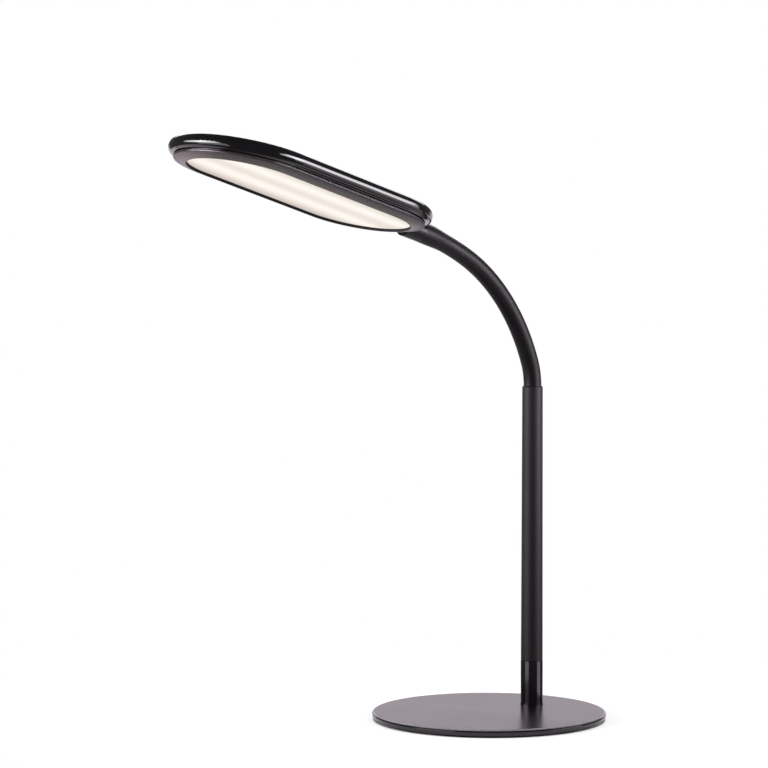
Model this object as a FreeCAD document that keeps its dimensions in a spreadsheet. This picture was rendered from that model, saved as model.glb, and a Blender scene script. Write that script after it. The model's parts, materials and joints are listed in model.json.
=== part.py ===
import FreeCAD, Part
import math
import os
import re

import Sketcher

# A table lamp with a round base, a post, a bending neck and a flat lit head.
# The base stands on z = 0 with its centre at the origin. The head reaches towards -Y.
# The post, the neck and the head's long axis all lie in the plane x = 0.

V = FreeCAD.Vector
X_AXIS = V(1, 0, 0)
Z_AXIS = V(0, 0, 1)

# Two lengths closer than this are the same length.
SAME = 1e-6

# Driving sizes, in millimetres and degrees.
SIZES = {
    # Base
    "base_dia": 180.0,
    "plate_thick": 5.0,
    "rim_round": 2.0,
    "rim_chamfer": 0.8,
    "pad_thick": 1.0,
    "pad_inset": 3.0,
    "recess_dia": 24.0,
    "recess_depth": 3.8,
    "channel_width": 6.0,
    "grommet_len": 8.0,
    "grommet_inset": 1.0,
    "cord_hole_dia": 2.6,
    # Clearances, each on one side
    "fit_gap": 0.1,
    "thread_gap": 0.05,
    "snap_gap": 0.2,
    "link_gap": 0.3,
    # Hollow stud that pulls the post down on the base
    "post_back": 49.0,
    "nipple_dia": 8.0,
    "nipple_bore": 5.0,
    "nipple_short": 1.0,
    "nut_across": 13.0,
    "nut_thick": 2.5,
    "washer_dia": 18.0,
    "washer_thick": 0.8,
    # Foot of the post, with the touch collar round its spigot
    "foot_ring_lip": 0.5,
    "foot_ring_thick": 0.8,
    "collar_wall": 1.0,
    "collar_height": 33.6,
    "collar_chamfer": 0.4,
    "liner_wall": 0.4,
    "spigot_wall": 1.3,
    "spigot_len": 66.0,
    "plug_len": 12.0,
    # Touch dimmer inside the spigot
    "touch_board_len": 48.0,
    "touch_board_thick": 1.2,
    "chip_size": 5.0,
    "chip_rise": 1.5,
    "chip_height": 10.0,
    "coil_dia": 5.0,
    "coil_rise": 2.6,
    "coil_height": 22.0,
    "capacitor_size": 4.0,
    "capacitor_rise": 2.4,
    "capacitor_height": 32.0,
    "contact_dia": 1.8,
    "contact_height": 20.0,
    # Post
    "post_dia": 16.0,
    "post_taper": 0.5,
    "post_wall": 0.9,
    "post_len": 214.2,
    "post_chamfer": 0.7,
    # Grub screws that hold the two ends of the neck
    "grub_dia": 3.0,
    "grub_sunk": 0.1,
    "grub_key": 1.5,
    "grub_key_depth": 1.0,
    # Neck: three bends that follow one another smoothly
    "neck_dia": 13.8,
    "sleeve_wall": 1.5,
    "sleeve_tuck": 8.0,
    "flare_len": 11.0,
    "core_wall": 2.8,
    "lead_dia": 4.2,
    "ferrule_len": 24.0,
    "bend_radius_low": 54.3,
    "bend_turn_low": 21.0,
    "bend_radius_mid": 155.3,
    "bend_turn_mid": 41.7,
    "bend_radius_high": 255.4,
    "bend_turn_high": 11.7,
    "link_count": 10,
    "first_joint": 12.0,
    "last_joint": 16.0,
    "ball_radius": 8.0,
    # Head: a long plate with round ends, widths and heights from its rim and lip
    "head_half": 55.3,
    "rim_radius": 57.5,
    "rim_width": 7.5,
    "rim_flat": 0.6,
    "cover_thick": 10.5,
    "roof_thick": 2.0,
    "bezel_height": 4.7,
    "seam_inset": 4.5,
    "seam_groove": 0.5,
    "groove_depth": 1.6,
    "bezel_slope": 2.4,
    "bezel_round": 1.2,
    "bezel_edge_round": 0.5,
    "lip_flat": 0.5,
    "seat_ledge": 2.7,
    "seat_depth": 2.2,
    "bezel_wall": 4.2,
    "bezel_spigot": 1.3,
    "diffuser_thick": 2.0,
    # Snap tabs of the bezel
    "tab_len": 10.0,
    "tab_place": 30.0,
    "tab_reach": 0.7,
    "tab_root": 1.0,
    "tab_thick": 0.6,
    "tab_rise": 0.3,
    # Light engine
    "spreader_thick": 1.0,
    "led_board_thick": 1.2,
    "led_board_radius": 36.0,
    "led_board_half": 50.0,
    "led_len": 3.5,
    "led_width": 2.8,
    "led_rise": 0.8,
    "led_pitch": 7.0,
    "led_count": 22,
    "led_row_offset": 18.0,
    "boss_dia": 5.5,
    "boss_across": 26.0,
    "boss_along": 52.0,
    "screw_dia": 2.4,
    "screw_hole_gap": 0.2,
    "screw_bite": 2.4,
    "screw_head_dia": 4.4,
    "screw_head_thick": 1.3,
    "connector_len": 8.0,
    "connector_width": 10.0,
    "connector_below": 2.3,
    "connector_inset": 2.0,
    # Socket that joins the neck to the head
    "socket_dia": 15.8,
    "socket_len": 17.5,
    "socket_axis": 7.7,
    "socket_gap": 0.2,
    "socket_bore_depth": 11.0,
    "socket_screw_across": 5.0,
    "socket_screw_rise": 2.0,
    "socket_screw_bite": 4.8,
    "socket_grub_place": 5.5,
}

doc = FreeCAD.newDocument("led_table_lamp")
sheet = doc.addObject("Spreadsheet::Sheet", "Sizes")
for row, (alias, number) in enumerate(SIZES.items(), start=1):
    sheet.set(f"A{row}", alias.replace("_", " "))
    sheet.set(f"B{row}", str(number))
    sheet.setAlias(f"B{row}", alias)
doc.recompute()

# Sizes that follow from the driving ones, as formulas of their names.
plate_top = "(pad_thick + plate_thick)"
recess_roof = "(pad_thick + recess_depth)"
nut_low = f"({recess_roof} - washer_thick - nut_thick)"
base_radius = "(base_dia / 2)"

post_bore = "(post_dia / 2 - post_wall)"
spigot_radius = f"({post_bore} - fit_gap)"
spigot_bore = f"({spigot_radius} - spigot_wall)"
liner_bore = f"({spigot_radius} + fit_gap)"
liner_radius = f"({liner_bore} + liner_wall)"
collar_bore = f"({liner_radius} + fit_gap)"
collar_radius = f"({collar_bore} + collar_wall)"
collar_low = f"({plate_top} + foot_ring_thick)"
collar_top = f"({collar_low} + collar_height)"
board_low = f"({plate_top} + plug_len)"
board_top = f"({board_low} + touch_board_len)"
board_face = "(touch_board_thick / 2)"
post_top = f"({collar_top} + post_len)"

sleeve_radius = "(neck_dia / 2)"
sleeve_bore = f"({sleeve_radius} - sleeve_wall)"
core_radius = f"({sleeve_bore} - fit_gap)"
core_bore = f"({core_radius} - core_wall)"
lead_radius = "(lead_dia / 2)"
ferrule_bore = f"({core_radius} + fit_gap)"
ferrule_top = f"({post_top} - sleeve_tuck)"

cavity_radius = "(rim_radius - rim_width)"
seam_radius = "(rim_radius - seam_inset)"
bezel_spigot_radius = f"({cavity_radius} - snap_gap)"
seat_radius = f"({bezel_spigot_radius} - bezel_wall)"
lip_radius = f"({seat_radius} - seat_ledge)"
bezel_edge_top = "(bezel_height - seam_groove)"
notch_half = f"({lead_radius} + link_gap)"
roof_low = "(bezel_height + cover_thick - roof_thick)"
spreader_low = f"({roof_low} - spreader_thick)"
led_board_low = f"({spreader_low} - led_board_thick)"
screw_reach = "(socket_screw_across + screw_head_dia / 2)"
screw_seat = f"(head_half + sqrt({cavity_radius} ^ 2 - {screw_reach} ^ 2))"
socket_seat = f"(head_half + {seam_radius} + socket_gap)"
socket_mouth = f"({socket_seat} + socket_len)"
socket_radius = "(socket_dia / 2)"
socket_screw_sides = ("socket_screw_across", "-socket_screw_across")
socket_screw_level = "(socket_axis + socket_screw_rise)"
connector_end = "(led_board_half + led_board_radius - connector_inset)"
connector_low = "(socket_axis - connector_below)"
screw_radius = "(screw_dia / 2)"
tight_hole = f"({screw_radius} + thread_gap)"
loose_hole = f"({screw_radius} + screw_hole_gap)"
grub_radius = "(grub_dia / 2)"
grub_hole = f"({grub_radius} + thread_gap)"


def bound(formula):
    """Point every size word of a formula at its cell in the sheet."""
    return re.sub(r"[a-z_]+", lambda word: f"Sizes.{word[0]}" if word[0] in SIZES else word[0], formula)


def value(formula):
    """Work a formula out as a number."""
    return float(sheet.evalExpression(bound(formula)))


def bind(thing, formulas):
    """Tie properties of a document object to formulas."""
    for name, formula in formulas.items():
        thing.setExpression(name, bound(formula))


# Round and square pieces made from primitives

UPRIGHT = FreeCAD.Rotation()
REARWARD = FreeCAD.Rotation(X_AXIS, -90)
SIDEWAYS = FreeCAD.Rotation(V(0, 1, 0), -90)
POST_AXIS = ("0", "post_back")
BASE_AXIS = ("0", "0")


def place_at(thing, spot, turn=UPRIGHT):
    thing.Placement = FreeCAD.Placement(V(), turn)
    bind(thing, {f"Placement.Base.{axis}": formula for axis, formula in zip("xyz", spot)})


def rod(name, radius, length, spot, turn=UPRIGHT):
    solid = doc.addObject("Part::Cylinder", name)
    bind(solid, {"Radius": radius, "Height": length})
    place_at(solid, spot, turn)
    return solid


def hexagon(name, across, length, spot, turn=UPRIGHT):
    solid = doc.addObject("Part::Prism", name)
    solid.Polygon = 6
    bind(solid, {"Circumradius": f"{across} / sqrt(3)", "Height": length})
    place_at(solid, spot, turn)
    return solid


def block(name, size, spot):
    solid = doc.addObject("Part::Box", name)
    bind(solid, dict(zip(("Length", "Width", "Height"), size)))
    place_at(solid, spot)
    return solid


def cut(label, base, *tools):
    """Take tools away from a base, one after another."""
    for number, tool in enumerate(tools, start=1):
        result = doc.addObject("Part::Cut", f"{label}_less_{number}")
        result.Base = base
        result.Tool = tool
        base = result
    base.Label = label
    return base


def tube(label, radius, bore, low, length, middle=POST_AXIS):
    outside = rod(f"{label}_outside", radius, length, (*middle, low))
    inside = rod(f"{label}_bore", bore, length, (*middle, low))
    return cut(label, outside, inside)


def group(label, members):
    """Several separate solids under one name."""
    compound = doc.addObject("Part::Compound", f"{label}_group")
    compound.Links = members
    compound.Label = label
    return compound


def chamfer_top(label, base, radius, top, size):
    """Bevel the outer circle at the top of a round piece."""
    doc.recompute()
    bevel = doc.addObject("Part::Chamfer", f"{label}_bevel")
    bevel.Base = base
    bevel.Edges = [
        (number, value(size), value(size))
        for number, edge in enumerate(base.Shape.Edges, start=1)
        if isinstance(edge.Curve, Part.Circle)
        and abs(edge.Curve.Radius - value(radius)) < SAME
        and abs(edge.Curve.Center.z - value(top)) < SAME
    ]
    return bevel


def grub_screw(label, low, length, spot, turn):
    """Headless screw with a hexagon socket at its outer end."""
    reach = f"({low} + {length} - grub_key_depth)"
    shank = rod(f"{label}_shank", grub_radius, length, spot(low), turn)
    key = hexagon(f"{label}_key", "grub_key", "grub_key_depth", spot(reach), turn)
    return cut(label, shank, key)


# Pieces made from sketches

LEAST_CUT = 0.01


def origin_plane(body, role):
    return next(plane for plane in body.Origin.OriginFeatures if plane.Role == role)


def new_body(label):
    body = doc.addObject("PartDesign::Body", f"{label}_body")
    body.Label = label
    return body


def new_sketch(body, height="0", role="XY_Plane"):
    sketch = body.newObject("Sketcher::SketchObject", f"{body.Label}_sketch")
    sketch.AttachmentSupport = (origin_plane(body, role), [""])
    sketch.MapMode = "FlatFace"
    bind(sketch, {"AttachmentOffset.Base.z": height})
    return sketch


def dimension(sketch, formula, kind, *places):
    number = sketch.addConstraint(Sketcher.Constraint(kind, *places, value(formula)))
    bind(sketch, {f"Constraints[{number}]": formula})


def hold(sketch, shape, point, spot):
    """Hold a point of a sketched line or circle at two formulas, measured from the sketch's middle."""
    for formula, kind, axis in zip(spot, ("DistanceX", "DistanceY"), (-2, -1)):
        if abs(value(formula)) < SAME:
            sketch.addConstraint(Sketcher.Constraint("PointOnObject", shape, point, axis))
        elif value(formula) > 0:
            dimension(sketch, formula, kind, -1, 1, shape, point)
        else:
            dimension(sketch, f"-({formula})", kind, shape, point, -1, 1)


def draw_circle(sketch, radius, spot=("0", "0")):
    middle = V(value(spot[0]), value(spot[1]), 0)
    circle = sketch.addGeometry(Part.Circle(middle, Z_AXIS, value(radius)))
    dimension(sketch, radius, "Radius", circle)
    hold(sketch, circle, 3, spot)


def draw_rectangle(sketch, low, high):
    left, near = (value(formula) for formula in low)
    right, far = (value(formula) for formula in high)
    corners = [V(left, near, 0), V(right, near, 0), V(right, far, 0), V(left, far, 0)]
    sides = [
        sketch.addGeometry(Part.LineSegment(start, end))
        for start, end in zip(corners, corners[1:] + corners[:1])
    ]
    for side, following in zip(sides, sides[1:] + sides[:1]):
        sketch.addConstraint(Sketcher.Constraint("Coincident", side, 2, following, 1))
    for side, kind in zip(sides, ("Horizontal", "Vertical", "Horizontal", "Vertical")):
        sketch.addConstraint(Sketcher.Constraint(kind, side))
    hold(sketch, sides[0], 1, low)
    hold(sketch, sides[2], 1, high)


def draw_long_round(sketch, radius, half):
    """Outline with two straight sides along Y and two half-round ends."""
    reach, length = value(radius), value(half)
    right = sketch.addGeometry(Part.LineSegment(V(reach, -length, 0), V(reach, length, 0)))
    rear = sketch.addGeometry(Part.ArcOfCircle(Part.Circle(V(0, length, 0), Z_AXIS, reach), 0, math.pi))
    left = sketch.addGeometry(Part.LineSegment(V(-reach, length, 0), V(-reach, -length, 0)))
    front = sketch.addGeometry(
        Part.ArcOfCircle(Part.Circle(V(0, -length, 0), Z_AXIS, reach), math.pi, 2 * math.pi)
    )
    for shape, following in ((right, rear), (rear, left), (left, front), (front, right)):
        sketch.addConstraint(Sketcher.Constraint("Tangent", shape, 2, following, 1))
    sketch.addConstraint(Sketcher.Constraint("Vertical", right))
    dimension(sketch, radius, "Radius", rear)
    hold(sketch, rear, 3, ("0", half))
    hold(sketch, front, 3, ("0", f"-{half}"))


def pad(body, sketch, length, downward=False):
    feature = body.newObject("PartDesign::Pad", f"{body.Label}_pad")
    feature.Profile = sketch
    feature.Reversed = downward
    bind(feature, {"Length": length})
    doc.recompute()
    return feature


def pocket(body, sketch, depth):
    """Cut a sketch's outline out of a body, along the sketch's normal, and stop if nothing was cut."""
    before = body.Shape.Volume
    feature = body.newObject("PartDesign::Pocket", f"{body.Label}_pocket")
    feature.Profile = sketch
    feature.Reversed = True
    bind(feature, {"Length": depth})
    doc.recompute()
    if before - body.Shape.Volume < LEAST_CUT:
        raise RuntimeError(f"{feature.Name} cuts nothing")
    return feature


def round_edges(body, kind, size, chosen):
    """Round or bevel the edges of a body's last feature that a test chooses."""
    tip = body.Tip
    feature = body.newObject(f"PartDesign::{kind}", f"{body.Label}_{kind.lower()}")
    names = [f"Edge{number}" for number, edge in enumerate(tip.Shape.Edges, start=1) if chosen(edge)]
    feature.Base = (tip, names)
    bind(feature, {"Radius" if kind == "Fillet" else "Size": size})
    doc.recompute()
    return feature


def flat_at(height):
    """Test for an edge that lies level at a height."""
    level = value(height)
    return lambda edge: max(abs(edge.BoundBox.ZMin - level), abs(edge.BoundBox.ZMax - level)) < SAME


def outer_edge(height, reach):
    """Test for a level edge at a height whose far side lies at a distance from the middle line."""
    at_height = flat_at(height)
    far = value(reach)
    return lambda edge: at_height(edge) and abs(max(edge.BoundBox.XMax, -edge.BoundBox.XMin) - far) < SAME


def long_plate(label, radius, half, low, thick, holes=()):
    """Flat plate with half-round ends and round holes."""
    body = new_body(label)
    outline = new_sketch(body, low)
    draw_long_round(outline, radius, half)
    for hole_radius, spot in holes:
        draw_circle(outline, hole_radius, spot)
    pad(body, outline, thick)
    return body


def corners(across, along):
    """Four places, one in each quarter."""
    return [(f"{side}{across}", f"{end}{along}") for side in ("", "-") for end in ("", "-")]


# Neck: a chain of links on one smooth line of three bends

BENDS = [
    (value(f"bend_radius_{name}"), value(f"bend_turn_{name}")) for name in ("low", "mid", "high")
]
NECK_LENGTH = sum(radius * math.radians(turn) for radius, turn in BENDS)
NECK_TURN = sum(turn for radius, turn in BENDS)
LINK_COUNT = round(value("link_count"))
JOINT_STEP = (NECK_LENGTH - value("first_joint") - value("last_joint")) / (LINK_COUNT - 2)
JOINTS = [value("first_joint") + JOINT_STEP * number for number in range(LINK_COUNT - 1)]


def neck_heading(turn):
    """Direction of the neck's line where it has turned this far from upright."""
    angle = math.radians(turn)
    return V(0, -math.sin(angle), math.cos(angle))


def neck_inward(turn):
    """Direction from the neck's line to the centre of its bend."""
    angle = math.radians(turn)
    return V(0, -math.cos(angle), -math.sin(angle))


def neck_runs():
    """Runs of the neck's line: start, end, first point, first turn and radius, straight runs without one."""
    point = V(0, value("post_back"), value(post_top))
    runs = [(-math.inf, 0.0, point, 0.0, None)]
    start = turn = 0.0
    for radius, more in BENDS:
        end = start + radius * math.radians(more)
        runs.append((start, end, point, turn, radius))
        centre = point + neck_inward(turn) * radius
        turn += more
        point = centre - neck_inward(turn) * radius
        start = end
    runs.append((start, math.inf, point, turn, None))
    return runs


RUNS = neck_runs()


def neck_at(distance):
    """Point on the neck's line and its turn there, from the distance along it past the post's top."""
    start, end, point, turn, radius = next(run for run in RUNS if distance <= run[1])
    if radius is None:
        origin = max(start, 0.0)
        return point + neck_heading(turn) * (distance - origin), turn
    centre = point + neck_inward(turn) * radius
    turn += math.degrees((distance - start) / radius)
    return centre - neck_inward(turn) * radius, turn


def neck_stretch(radius, bore, low, high):
    """Tube along the neck's line between two distances."""
    solids = []
    for start, end, _, _, bend in RUNS:
        first, last = max(low, start), min(high, end)
        if last - first < SAME:
            continue
        middle, turn = neck_at(first)
        heading = neck_heading(turn)
        rings = [Part.Wire(Part.makeCircle(size, middle, heading)) for size in (radius, bore) if size > 0]
        face = Part.makeFace(rings, "Part::FaceMakerBullseye")
        if bend is None:
            solids.append(face.extrude(heading * (last - first)))
        else:
            centre = middle + neck_inward(turn) * bend
            solids.append(face.revolve(centre, X_AXIS, math.degrees((last - first) / bend)))
    whole = solids[0]
    for solid in solids[1:]:
        whole = whole.fuse(solid)
    return whole


def neck_link(number, radius, bore, first, last):
    """One link: hollowed round the joint below it, and rounded about the joint above it."""
    ball = value("ball_radius")
    low = JOINTS[number - 1] if number > 0 else first
    high = JOINTS[number] if number < len(JOINTS) else last
    solid = neck_stretch(radius, bore, low, high)
    if number > 0:
        solid = solid.cut(Part.makeSphere(ball + value("link_gap"), neck_at(low)[0]))
    if number < len(JOINTS):
        nose = neck_stretch(radius, bore, high, high + ball + value("link_gap"))
        solid = solid.fuse(nose.common(Part.makeSphere(ball, neck_at(high)[0])))
    return solid.removeSplitter()


def neck_chain(label, radius, bore, first, last):
    """A node for each link of one layer of the neck."""
    chain = []
    for number in range(LINK_COUNT):
        feature = doc.addObject("Part::Feature", f"{label}_link_{number + 1:02d}")
        feature.Shape = neck_link(number, value(radius), value(bore), first, last)
        feature.Label = f"{label}_{number + 1:02d}"
        chain.append(feature)
    return chain


def flare_end(link):
    """Widen the end of the sleeve's last link, so that it meets the socket flush."""
    length = value("flare_len")
    end, turn = neck_at(NECK_LENGTH)
    heading = neck_heading(turn)
    narrow = value(f"{sleeve_radius} - link_gap")
    cone = Part.makeCone(narrow, value(socket_radius), length, end - heading * length, heading)
    hollow = neck_stretch(value(sleeve_bore), 0.0, JOINTS[-1], NECK_LENGTH + length)
    ball = Part.makeSphere(value("ball_radius + link_gap"), neck_at(JOINTS[-1])[0])
    link.Shape = link.Shape.fuse(cone.cut(hollow).cut(ball)).removeSplitter()


# Base and the stud through it

def make_base_plate():
    body = new_body("base_plate")
    disc = new_sketch(body, "pad_thick")
    draw_circle(disc, base_radius)
    pad(body, disc, "plate_thick")
    round_edges(body, "Fillet", "rim_round", flat_at(plate_top))
    round_edges(body, "Chamfer", "rim_chamfer", flat_at("pad_thick"))
    recess = new_sketch(body, "pad_thick")
    draw_circle(recess, "recess_dia / 2", POST_AXIS)
    pocket(body, recess, "recess_depth")
    channel = new_sketch(body, "pad_thick")
    draw_rectangle(channel, ("-channel_width / 2", "post_back"), ("channel_width / 2", "base_dia"))
    pocket(body, channel, "recess_depth")
    hole = new_sketch(body, "pad_thick")
    draw_circle(hole, "nipple_dia / 2 + fit_gap", POST_AXIS)
    pocket(body, hole, "plate_thick")
    return body


def make_base_pad():
    disc = rod("base_pad_disc", f"{base_radius} - pad_inset", "pad_thick", (*BASE_AXIS, "0"))
    disc.Label = "base_pad"
    return disc


def make_cord_grommet():
    low = f"({base_radius} - grommet_inset - grommet_len)"
    width = "(channel_width - 2 * fit_gap)"
    bush = block(
        "cord_grommet_block",
        (width, "grommet_len", "recess_depth - fit_gap"),
        (f"-{width} / 2", low, "pad_thick"),
    )
    middle = "(pad_thick + (recess_depth - fit_gap) / 2)"
    hole = rod("cord_grommet_hole", "cord_hole_dia / 2", "grommet_len", ("0", low, middle), REARWARD)
    return cut("cord_grommet", bush, hole)


def make_base_nut():
    outside = hexagon("base_nut_hexagon", "nut_across", "nut_thick", (*POST_AXIS, nut_low))
    hole = rod("base_nut_hole", "nipple_dia / 2 + thread_gap", "nut_thick", (*POST_AXIS, nut_low))
    return cut("base_nut", outside, hole)


def make_foot():
    """Everything between the base plate and the lower end of the post."""
    stud = "(nipple_dia / 2)"
    ring_radius = f"({collar_radius} + foot_ring_lip)"
    nipple_top = f"({board_low} - nipple_short)"
    washer_low = f"({recess_roof} - washer_thick)"
    contact_hole = rod(
        "contact_hole",
        "contact_dia / 2 + fit_gap",
        collar_radius,
        (*POST_AXIS, f"{plate_top} + contact_height"),
        SIDEWAYS,
    )
    spigot = tube("post_spigot_plain", spigot_radius, spigot_bore, plate_top, "spigot_len")
    liner = tube("collar_liner_plain", liner_radius, liner_bore, collar_low, "collar_height")
    collar = tube("touch_collar_plain", collar_radius, collar_bore, collar_low, "collar_height")
    touch_collar = chamfer_top("touch_collar", collar, collar_radius, collar_top, "collar_chamfer")
    touch_collar.Label = "touch_collar"
    return [
        tube("base_washer", "washer_dia / 2", f"{stud} + fit_gap", washer_low, "washer_thick"),
        make_base_nut(),
        tube("threaded_nipple", stud, "nipple_bore / 2", nut_low, f"{nipple_top} - {nut_low}"),
        tube("spigot_plug", f"{spigot_bore} - fit_gap", f"{stud} + thread_gap", plate_top, "plug_len"),
        tube("foot_ring", ring_radius, f"{spigot_radius} + fit_gap", plate_top, "foot_ring_thick"),
        cut("post_spigot", spigot, contact_hole),
        cut("collar_liner", liner, contact_hole),
        touch_collar,
    ]


# Touch dimmer that stands in the spigot

def make_touch_dimmer():
    board_width = f"(2 * sqrt(({spigot_bore} - snap_gap) ^ 2 - {board_face} ^ 2))"
    board = block(
        "touch_board_block",
        ("touch_board_thick", board_width, "touch_board_len"),
        (f"-{board_face}", f"post_back - {board_width} / 2", board_low),
    )
    board.Label = "touch_board"
    chip = block(
        "dimmer_chip",
        ("chip_rise", "chip_size", "chip_size"),
        (board_face, "post_back - chip_size / 2", f"{board_low} + chip_height"),
    )
    coil = rod(
        "dimmer_coil",
        "coil_dia / 2",
        "coil_rise",
        (f"{board_face} + coil_rise", "post_back", f"{board_low} + coil_height"),
        SIDEWAYS,
    )
    capacitor = block(
        "dimmer_capacitor",
        ("capacitor_rise", "capacitor_size", "capacitor_size"),
        (board_face, "post_back - capacitor_size / 2", f"{board_low} + capacitor_height"),
    )
    contact = rod(
        "touch_contact_pin",
        "contact_dia / 2",
        f"sqrt({collar_bore} ^ 2 - (contact_dia / 2) ^ 2) - {board_face}",
        (f"-{board_face}", "post_back", f"{plate_top} + contact_height"),
        SIDEWAYS,
    )
    contact.Label = "touch_contact"
    return [board, group("dimmer_components", [chip, coil, capacitor]), contact]


# Post, with the neck's lower end fixed in its top

def make_post():
    screw_level = f"({ferrule_top} - ferrule_len / 2)"

    def behind(distance):
        return ("0", f"post_back + {distance}", screw_level)

    outside = doc.addObject("Part::Cone", "post_tube_outside")
    bind(outside, {"Radius1": "post_dia / 2 + post_taper", "Radius2": "post_dia / 2", "Height": "post_len"})
    place_at(outside, (*POST_AXIS, collar_top))
    inside = rod("post_tube_bore", post_bore, "post_len", (*POST_AXIS, collar_top))
    plain_post = cut("post_tube_plain", outside, inside)
    post = chamfer_top("post_tube", plain_post, "post_dia / 2", post_top, "post_chamfer")
    ferrule = tube(
        "neck_ferrule_plain",
        f"{post_bore} - fit_gap",
        ferrule_bore,
        f"{ferrule_top} - ferrule_len",
        "ferrule_len",
    )
    screw_hole = rod("post_screw_hole", grub_hole, "post_dia", behind("0"), REARWARD)
    grub_len = f"(post_dia / 2 - grub_sunk - {ferrule_bore})"
    return [
        cut("post_tube", post, screw_hole),
        cut("neck_ferrule", ferrule, screw_hole),
        grub_screw("post_set_screw", ferrule_bore, grub_len, behind, REARWARD),
    ]


def make_neck():
    tuck = value("sleeve_tuck")
    foot = tuck + value("ferrule_len")
    core_end = NECK_LENGTH + value("socket_bore_depth - fit_gap")
    lead_start = value(f"{board_top} - {post_top}")
    lead_end = NECK_LENGTH + value(f"{socket_mouth} - {connector_end}")
    sleeves = neck_chain("neck_sleeve", sleeve_radius, sleeve_bore, -tuck, NECK_LENGTH)
    flare_end(sleeves[-1])
    return [
        *sleeves,
        *neck_chain("neck_core", core_radius, core_bore, -foot, core_end),
        *neck_chain("neck_lead", lead_radius, "0", lead_start, lead_end),
    ]


# Head, modelled with its lip on z = 0 and its rear end towards +Y, then placed on the neck's end

def head_placement():
    tilt = 90 - NECK_TURN
    turn = FreeCAD.Rotation(X_AXIS, -tilt)
    mouth = neck_at(NECK_LENGTH)[0]
    inside_head = V(0, value(socket_mouth), value("socket_axis"))
    return FreeCAD.Placement(mouth - turn.multVec(inside_head), turn)


def socket_line(along):
    """Place on the middle line of the socket, in the head's own frame."""
    return ("0", along, "socket_axis")


def tab_boxes(sketch, grow, inner, outer):
    """Outlines of the four snap tabs, or of the pockets that they snap into."""
    for side in (1, -1):
        for end in (1, -1):
            near, far = sorted((f"{side} * {inner}", f"{side} * {outer}"), key=value)
            middle = f"{end} * tab_place"
            half = f"(tab_len / 2 + {grow})"
            draw_rectangle(sketch, (near, f"{middle} - {half}"), (far, f"{middle} + {half}"))


def make_head_cover():
    body = new_body("head_cover_shell")
    outline = new_sketch(body, "bezel_height")
    draw_long_round(outline, "rim_radius", "head_half")
    pad(body, outline, "cover_thick")
    top = flat_at("bezel_height + cover_thick")
    low = flat_at("bezel_height")
    round_edges(body, "Fillet", "(cover_thick - rim_flat) / 2", lambda edge: top(edge) or low(edge))
    cavity = new_sketch(body, "bezel_height")
    draw_long_round(cavity, cavity_radius, "head_half")
    pocket(body, cavity, "cover_thick - roof_thick")
    bosses = new_sketch(body, roof_low)
    for spot in corners("boss_across", "boss_along"):
        draw_circle(bosses, "boss_dia / 2", spot)
    pad(body, bosses, "spreader_thick", downward=True)
    boss_holes = new_sketch(body, spreader_low)
    for spot in corners("boss_across", "boss_along"):
        draw_circle(boss_holes, tight_hole, spot)
    pocket(body, boss_holes, "screw_bite")
    snaps = new_sketch(body, "bezel_height + tab_rise - fit_gap")
    snap_end = f"({bezel_spigot_radius} + tab_reach + snap_gap)"
    tab_boxes(snaps, "snap_gap", f"({cavity_radius} - snap_gap)", snap_end)
    pocket(body, snaps, "tab_thick + 2 * fit_gap")
    seat_size = (f"{socket_radius} + fit_gap", "socket_len")
    seat = rod("cover_socket_seat", *seat_size, socket_line(socket_seat), REARWARD)
    lead_way = rod("cover_lead_way", core_bore, "rim_width", socket_line(screw_seat), REARWARD)
    screw_ways = [
        rod("cover_screw_way", loose_hole, "rim_width", (side, screw_seat, socket_screw_level), REARWARD)
        for side in socket_screw_sides
    ]
    return cut("head_cover", body, seat, lead_way, *screw_ways)


def make_head_bezel():
    body = new_body("head_bezel")
    lip = new_sketch(body)
    draw_long_round(lip, f"({lip_radius} + lip_flat)", "head_half")
    slope_top = new_sketch(body, "bezel_slope")
    draw_long_round(slope_top, seam_radius, "head_half")
    slope = body.newObject("PartDesign::AdditiveLoft", "head_bezel_slope")
    slope.Profile = lip
    slope.Sections = [slope_top]
    slope.Ruled = True
    doc.recompute()
    edge = new_sketch(body, "bezel_slope")
    draw_long_round(edge, seam_radius, "head_half")
    pad(body, edge, f"{bezel_edge_top} - bezel_slope")
    round_edges(body, "Fillet", "bezel_round", outer_edge("bezel_slope", seam_radius))
    round_edges(body, "Fillet", "bezel_edge_round", outer_edge(bezel_edge_top, seam_radius))
    shoulder = new_sketch(body, bezel_edge_top)
    draw_long_round(shoulder, f"({seam_radius} - groove_depth)", "head_half")
    pad(body, shoulder, "seam_groove")
    spigot = new_sketch(body, "bezel_height")
    draw_long_round(spigot, bezel_spigot_radius, "head_half")
    pad(body, spigot, "bezel_spigot")
    tabs = new_sketch(body, "bezel_height + tab_rise")
    tab_boxes(tabs, "0", f"({bezel_spigot_radius} - tab_root)", f"({bezel_spigot_radius} + tab_reach)")
    pad(body, tabs, "tab_thick")
    opening = new_sketch(body)
    draw_long_round(opening, lip_radius, "head_half")
    pocket(body, opening, "bezel_height + bezel_spigot")
    seat = new_sketch(body, "seat_depth")
    draw_long_round(seat, seat_radius, "head_half")
    pocket(body, seat, "bezel_height + bezel_spigot - seat_depth")
    lead_notch = new_sketch(body, "bezel_height")
    draw_rectangle(lead_notch, (f"-{notch_half}", "head_half"), (notch_half, f"head_half + {seam_radius}"))
    pocket(body, lead_notch, "bezel_spigot")
    return body


def make_leds():
    rows = []
    first = "-(led_count - 1) / 2 * led_pitch"
    for side in ("", "-"):
        for number in range(round(value("led_count"))):
            middle = f"({first} + {number} * led_pitch)"
            rows.append(block(
                "led",
                ("led_width", "led_len", "led_rise"),
                (
                    f"{side}led_row_offset - led_width / 2",
                    f"{middle} - led_len / 2",
                    f"{led_board_low} - led_rise",
                ),
            ))
    return group("leds", rows)


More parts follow.
